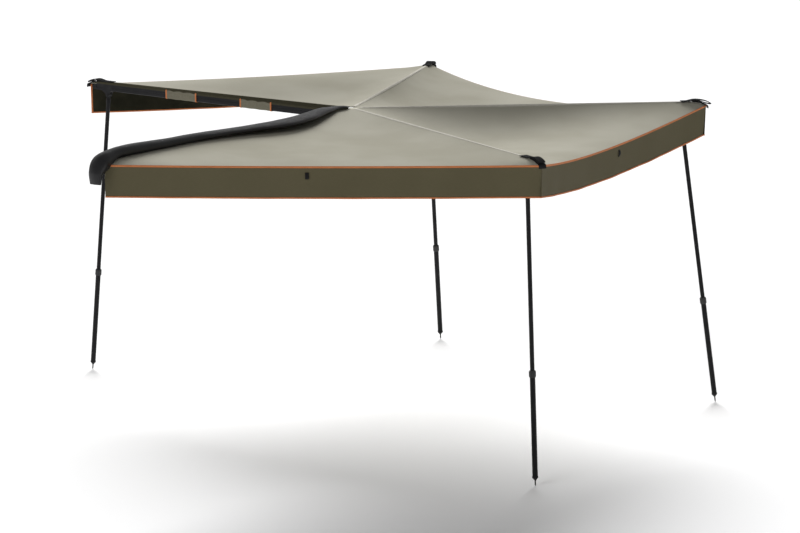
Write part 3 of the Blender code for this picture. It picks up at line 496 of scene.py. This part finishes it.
# Painted shade: the valances' inner side is coloured near-black for the shade inside the canopy, with a little
# wrinkling.
painted_shade_inside = Finish("valance_inside_painted_shade", (0.018, 0.017, 0.010), 0.85, specular=0.1)
wrinkle = painted_shade_inside.noise(painted_shade_inside.spot(), 5.0, 3.0)
painted_shade_inside.set("Base Color", painted_shade_inside.blend(
    wrinkle.soft(0.3, 0.7), (0.012, 0.012, 0.007), (0.026, 0.024, 0.015)))
painted_shade_inside.emboss(wrinkle, 0.002, 0.5)

tape = Finish("orange_tape", (0.56, 0.19, 0.07), 0.7, specular=0.2)
along, down_it = tape.sheet_place()
twill = ((along + down_it) / 0.002).repeat(0.5)
faded = tape.noise(tape.spot(), 12.0, 2.0)
tape.set("Base Color", tape.blend(
    twill * 0.5 + faded * 0.6, (0.44, 0.135, 0.045), (0.64, 0.235, 0.095)))
tape.emboss(twill, 0.0003)

bindings = []
for panel in panels:
    outward = inward(panel) * -1

    def valance_place(across, down, panel=panel):
        return valance_point(panel, across, down)

    def top_tape_place(across, down, panel=panel, outward=outward):
        crown = math.sin(math.pi * min(1.0, down * 1.4))
        point = hem_point(panel, across) + outward * (top_lift + top_bulge * crown)
        return point + Vector((0, 0, 0.0004 - top_width * down))

    def low_tape_place(across, down, panel=panel, outward=outward):
        crown = math.sin(math.pi * down)
        point = valance_point(panel, across, 1.0 - low_width / valance_drop * (1 - down))
        return point + outward * (low_lift + low_bulge * crown) - Vector((0, 0, 0.0010))

    width = hem_length(panel)
    valance = cloth(f"valance_cloth_{panel}", 110, 12, valance_place, (width, valance_drop), skirt,
                    canvas_thickness, outward, even=False, painted_shade_inside=painted_shade_inside)
    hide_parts(f"valance_{panel}")
    top_tape = cloth(f"top_binding_{panel}", 110, 6, top_tape_place, (width, top_width), tape,
                     tape_thickness, outward, even=False)
    low_tape = cloth(f"lower_binding_{panel}", 110, 5, low_tape_place, (width, low_width), tape,
                     folded_tape, outward, even=False)
    bindings.append([top_tape, low_tape])
    if panel == 4:
        def end_tape_place(across, down):
            return valance_point(4, across, down) + inward(4) * -low_lift

        bindings[-1].append(cloth("end_binding_4", 4, 30, end_tape_place, (width, valance_drop), tape, 0.0036,
                                  outward, span=(1.0 - end_width, 1.0)))
    for piece in [valance, *bindings[-1]]:
        fold_with_arms(piece, panel)

# Hems along the rail and the last arm
# Where the canopy ends, its hem turns down over the rail's outer face, and over the last arm's edge,
# where it is coloured near-black olive as painted shade.
rail_side = 0.0142
rail_hem_start, rail_hem_run = 0.13, 2.282
rail_hem_drop = 0.030
rail_turn_top, rail_hem_top = -0.0025, -0.024  # highest places of its turn and of its lower edge
arm_side = 0.0216
arm_hem_start, arm_hem_run = 0.03, 2.26
arm_turn_top, arm_hem_low = 0.0030, -0.012
arm_hem_flat = 0.6  # the share of this hem that lies on the arm's top


def rail_hem_place(across, down):
    """Point on the rail's hem: from the canopy's edge (across 1) over the turn and down the rail."""
    reach = rail_hem_start + rail_hem_run * down
    edge_in = Vector((reach, rail_corner_aside * reach / rail_corner_out, seam_height(reach)))
    low = seam_height(reach) - rail_hem_drop
    turn = Vector((reach, max(rail_side, edge_in.y), min(rail_turn_top, edge_in.z - 0.004)))
    share = 1 - across
    if share < 0.5:
        return from_hub(0) @ edge_in.lerp(turn, share * 2)
    return from_hub(0) @ turn.lerp(Vector((reach, rail_side, min(low, rail_hem_top))), share * 2 - 1)


def arm_hem_place(across, down):
    """Point on the last arm's hem, in the same way."""
    reach = arm_hem_start + arm_hem_run * down
    share = 1 - across
    edge_in = Vector((reach, -0.001, seam_height(reach) + 0.0010))
    turn = Vector((reach, arm_side, min(arm_turn_top, edge_in.z - 0.0006)))
    if share < arm_hem_flat:
        return from_hub(arm_angles[4]) @ edge_in.lerp(turn, share / arm_hem_flat)
    past = (share - arm_hem_flat) / (1 - arm_hem_flat)
    return from_hub(arm_angles[4]) @ turn.lerp(Vector((reach, arm_side, arm_hem_low)), past)


rail_hem = cloth("rail_hem", 16, 90, rail_hem_place, (0.050, 2.28), canvas, canvas_thickness)
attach(rail_hem, "root")
# Painted shade: the hem over the last arm is coloured near-black olive, darker than the canopy it belongs to,
# so that it reads as dark as the arm under it.
painted_shade_canvas = Finish("arm_hem_painted_shade", (0.045, 0.041, 0.026), 0.85, specular=0.1)
knit = painted_shade_canvas.noise(painted_shade_canvas.spot(), 90.0, 3.0)
painted_shade_canvas.set("Base Color", painted_shade_canvas.blend(knit, (0.034, 0.031, 0.019), (0.058, 0.053, 0.034)))
painted_shade_canvas.emboss(knit, 0.0004)
arm_hem = cloth("last_arm_hem", 14, 90, arm_hem_place, (0.040, arm_hem_run), painted_shade_canvas, canvas_thickness)
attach(arm_hem, "arm_4")

# Tabs
# A small loop of black webbing is sewn near the middle of each of the two front valances, to peg or roll
# it up by.
tab_places = {1: 0.460, 2: 0.565}  # across the hem
tab_width = 0.022
tab_length = 0.045
tab_thickness = 0.0016
tab_top, tab_run = 0.19, 0.21  # shares of the valance's drop
tab_lift, tab_bulge = 0.0024, 0.0070
warp_pitch, weft_pitch = 0.0022, 0.0016

webbing = Finish("black_webbing", (0.016, 0.016, 0.017), 0.72, specular=0.15)
along, down_it = webbing.sheet_place()
weave = (along / warp_pitch).repeat(0.5) + (down_it / weft_pitch).repeat(0.5)
fluff = webbing.noise(webbing.spot(), 260.0, 3.0)
webbing.set("Base Color", webbing.blend(
    weave * 0.5 + fluff * 0.4, (0.006, 0.006, 0.006), (0.018, 0.018, 0.019)))
webbing.set("Roughness", 0.62 + fluff * 0.2)
webbing.emboss(weave, 0.0005)

for panel, middle in tab_places.items():
    half = tab_width / 2 / hem_length(panel)

    def tab_place(across, down, panel=panel):
        bulge = tab_lift + tab_bulge * math.sin(math.pi * down) ** 0.8
        return valance_point(panel, across, tab_top + tab_run * down) - inward(panel) * bulge

    tab = cloth(f"valance_tab_{panel}", 6, 16, tab_place, (hem_length(panel), tab_length), webbing,
                tab_thickness, inward(panel) * -1, span=(middle - half, middle + half))
    fold_with_arms(tab, panel)

# Each panel's hem length is worked out once more here, and not used.
for panel in panels:
    width = hem_length(panel)

# Corner straps
# Black webbing sewn along the seam at each tip, folded twice over the corner and turned down on the valance.
# On the second arm the fold stands past the corner as an open loop, to guy the awning by.
strap_width = 0.050
strap_thickness = 0.0040
inner_fold = (  # what both kinds of strap share: out, up
    (2.302, -0.0010), (2.284, 0.0040), (2.262, 0.0072), (2.245, 0.0082), (2.240, 0.0073), (2.246, 0.0064),
    (2.262, 0.0047), (2.284, 0.0003), (2.302, -0.0049), (2.322, -0.0122))
plain_run = (
    (2.118, 0.0085), (2.160, 0.0085), (2.202, 0.0085), (2.225, 0.0125), (2.245, 0.0165), (2.270, 0.0180),
    (2.290, 0.0152), (2.306, 0.0105), (2.322, 0.0045), (2.336, -0.0040), (2.334, -0.0095), (2.322, -0.0085),
    *inner_fold, (2.337, -0.0178), (2.3445, -0.0260), (2.3455, -0.0430))
loop_run = (
    (2.165, 0.0085), (2.190, 0.0085), (2.212, 0.0098), (2.230, 0.0142), (2.250, 0.0170), (2.275, 0.0172),
    (2.300, 0.0142), (2.325, 0.0085), (2.345, 0.0015), (2.360, -0.0065), (2.364, -0.0130), (2.354, -0.0162),
    (2.338, -0.0132), (2.320, -0.0078), *inner_fold, (2.337, -0.0185), (2.3445, -0.0260), (2.3455, -0.0430))


def between(rows, share):
    """The values at a share of the way along rows of values, on a smooth curve through all of them."""
    place = share * (len(rows) - 1)
    number = min(int(place), len(rows) - 2)
    part = place - number
    four = [rows[max(0, min(len(rows) - 1, number + step))] for step in (-1, 0, 1, 2)]
    return [b + 0.5 * part * (c - a + part * (2 * a - 5 * b + 4 * c - d + part * (3 * (b - c) + d - a)))
            for a, b, c, d in zip(*four)]


for arm in (1, 2, 3, 4):
    run = loop_run if arm == 2 else plain_run
    length = sum(math.dist(first, second) for first, second in zip(run, run[1:]))

    def strap_place(across, down, arm=arm, run=run):
        reach, height = between(run, down)
        return from_hub(arm_angles[arm]) @ Vector((reach, (0.5 - across) * strap_width, height))

    strap = cloth(f"tip_strap_{arm}", 12, 110, strap_place, (strap_width, length), webbing, strap_thickness)
    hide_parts(f"corner_strap_{arm}")
    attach(strap, f"arm_{arm}")

# Sleeves
# Two short sleeves of olive canvas hold the canopy's free side to the last arm, bound orange at both ends.
sleeve_places = (0.815, 1.480)
sleeve_length = 0.275
sleeve_round = 0.215
sleeve_half_width, sleeve_half_height = 0.0224, 0.0302
sleeve_middle = -0.028  # below the arm's top
sleeve_thickness = 0.0010
wrap_start, wrap_turn = -112, 382  # degrees round the beam
lap_share, lap_rise = 0.06, 0.045  # the outer end laps over the inner one
sleeve_binding = 0.012
binding_inset = 0.0045

sleeve_canvas = Finish("sleeve_canvas", (0.16, 0.15, 0.11), 0.8, specular=0.15)
along, down_it = sleeve_canvas.sheet_place()
thread = (along / thread_pitch).repeat(0.5) + (down_it / thread_pitch).repeat(0.5)
slub = sleeve_canvas.noise(sleeve_canvas.sheet_spot(), 60.0, 3.0, (9.0, 1.0, 1.0))
sleeve_canvas.set("Base Color", sleeve_canvas.blend(slub, (0.125, 0.116, 0.082), (0.195, 0.184, 0.138)))
sleeve_canvas.emboss(thread * 0.4 + slub, 0.0004, 0.7)


def sleeve_point(reach, share, grow):
    """Point round the arm's beam, from the overlap under it: share 0 is the outer end of the cloth."""
    turn = math.radians(wrap_start + wrap_turn * share)
    lap = 1 + lap_rise * max(0.0, 1 - share / lap_share)
    corner = [math.copysign(abs(value) ** 0.25, value) for value in (math.cos(turn), math.sin(turn))]
    aside = (sleeve_half_width + grow) * lap * corner[0]
    rise = sleeve_middle + (sleeve_half_height + grow) * lap * corner[1]
    return from_hub(arm_angles[4]) @ Vector((reach, aside, rise))


for number, middle in enumerate(sleeve_places, 1):
    def sleeve_place(across, down, middle=middle):
        puff = 0.0006 * math.sin(math.tau * 3 * down + across * 9)
        return sleeve_point(middle + sleeve_length * (down - 0.5), across, puff)

    sleeve = cloth(f"arm_sleeve_{number}", 72, 24, sleeve_place, (sleeve_round, sleeve_length), sleeve_canvas,
                   sleeve_thickness)
    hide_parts(f"arm_4_sleeve_{number}")
    ends = []
    for side in (-1, 1):
        def end_place(across, down, middle=middle, side=side):
            at = middle + side * (sleeve_length / 2 - binding_inset) + sleeve_binding * (down - 0.5)
            return sleeve_point(at, across, 0.0010 + 0.0008 * math.sin(math.pi * down))

        band = cloth(f"sleeve_binding_{number}_{'inner' if side < 0 else 'outer'}", 72, 5, end_place,
                     (sleeve_round, sleeve_binding), tape, tape_thickness)
        ends.append(band)
    for piece in (sleeve, *ends):
        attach(piece, "arm_4")

# Travel cover
# The glossy black vinyl bag that the folded awning packs into, unzipped, thrown back and rolled along
# the rail. It is thin at the hub, lies wide on the canopy's edge, and its open front end hangs over the
# rail's end.
roll_start, roll_turn = -42, 392  # degrees round the roll
cover_step = 0.004  # to either side, for the roll's direction
vinyl_thickness = 0.0012
rail_back, rail_front = -0.0395, 0.0135  # the rail's box, a little larger: its sides, top and end
rail_top, rail_stop = -0.0025, 2.427
hem_out, hem_slant = 2.402, 0.75  # where the canopy's hem begins, and how it runs back from there
strap_from, strap_to, strap_half = 2.112, 2.350, 0.028  # the folded-in strap's place
strap_top, strap_hump, hump_out, hump_half = 0.0105, 0.010, 2.262, 0.04
strap_nose, nose_slope = 2.318, 0.6
past_edge = 8  # how steeply the cover may fall past the edge of what holds it up
cover_rows = (  # out, sideways, up, half width, half height
    (0.030, -0.004, 0.0345, 0.012, 0.0040),
    (0.080, -0.010, 0.0385, 0.028, 0.0090),
    (0.160, -0.020, 0.0390, 0.034, 0.0120),
    (0.300, 0.004, 0.0420, 0.052, 0.0170),
    (0.450, 0.038, 0.0370, 0.067, 0.0180),
    (0.600, 0.066, 0.0340, 0.076, 0.0190),
    (0.800, 0.074, 0.0300, 0.080, 0.0190),
    (1.000, 0.049, 0.0290, 0.071, 0.0180),
    (1.200, 0.018, 0.0290, 0.062, 0.0180),
    (1.400, -0.003, 0.0290, 0.056, 0.0210),
    (1.600, -0.012, 0.0275, 0.050, 0.0265),
    (1.800, -0.013, 0.0265, 0.048, 0.0300),
    (2.000, -0.014, 0.0295, 0.048, 0.0325),
    (2.200, -0.010, 0.0310, 0.048, 0.0350),
    (2.330, -0.006, 0.0130, 0.048, 0.0450),
    (2.430, 0.004, -0.0160, 0.052, 0.0560),
    (2.476, 0.004, -0.0650, 0.046, 0.0340),
    (2.482, 0.004, -0.1350, 0.040, 0.0160),
)


def cover_floor(point):
    """Height that a point of the cover stays above, (out, sideways, up): that of the rail, of the canopy,
    and of the place of the first arm's strap when that arm is folded in."""
    past_rail = max(0.0, point.y - rail_front, rail_back - point.y)
    over_rail = rail_top - 3 * past_rail - past_edge * max(0.0, point.x - rail_stop)
    past_hem = max(0.0, point.x - hem_out + hem_slant * max(0.0, point.y - rail_corner_aside))
    over_canopy = seam_height(min(point.x, corner_reach)) + 0.002
    over_canopy -= 3 * past_hem + past_edge * max(0.0, 0.012 - point.y)
    over_strap = strap_top + strap_hump * math.exp(-((point.x - hump_out) / hump_half) ** 2)
    over_strap -= nose_slope * max(0.0, point.x - strap_nose)
    over_strap -= past_edge * max(0.0, strap_half - point.y, strap_from - point.x, point.x - strap_to)
    return max(over_rail, over_canopy, over_strap)


def cover_place(across, down):
    """Point on the roll: across 0 is the free edge in front, and the sheet winds back under it."""
    out, aside, up, wide, high = between(cover_rows, down)
    ahead, behind = (between(cover_rows, max(0.0, min(1.0, down + step))) for step in (cover_step, -cover_step))
    forward = Vector((ahead[0] - behind[0], 0, ahead[2] - behind[2])).normalized()
    turn = math.radians(roll_start + roll_turn * across)
    tuck = 1 - 0.16 * max(0.0, (across - 0.80) / 0.20) ** 0.7
    folds = 0.020 * math.sin(11 * out + 2 * turn) + 0.008 * math.sin(27 * out - 3 * turn + 1)
    folds += 0.040 * math.exp(-((out - 2.44) / 0.05) ** 2) * math.sin(5 * turn + 1)
    round_off = [math.copysign(abs(value) ** 0.8, value) for value in (math.cos(turn), math.sin(turn))]
    size = tuck * (1 + folds)
    point = Vector((out, aside + wide * size * round_off[0], up))
    point += Vector((-forward.z, 0, forward.x)) * high * size * round_off[1]
    point.z = max(point.z, cover_floor(point))
    return from_hub(0) @ point


vinyl = Finish("cover_vinyl", (0.008, 0.008, 0.009), 0.4, specular=0.28)
pebble = vinyl.noise(vinyl.spot(), 520.0, 2.0)
crumple = vinyl.noise(vinyl.spot(), 14.0, 3.0)
scuff = vinyl.noise(vinyl.spot(), 46.0, 4.0)
vinyl.set("Roughness", 0.30 + scuff.soft(0.35, 0.75) * 0.12)
vinyl.set("Base Color", vinyl.blend(scuff, (0.006, 0.006, 0.007), (0.012, 0.012, 0.013)))
vinyl.emboss(crumple + pebble * 0.04, 0.003, 0.4)

cover = cloth("cover_roll", 72, 200, cover_place, (0.26, 2.70), vinyl, vinyl_thickness)
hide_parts("travel_cover")
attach(cover, "root")
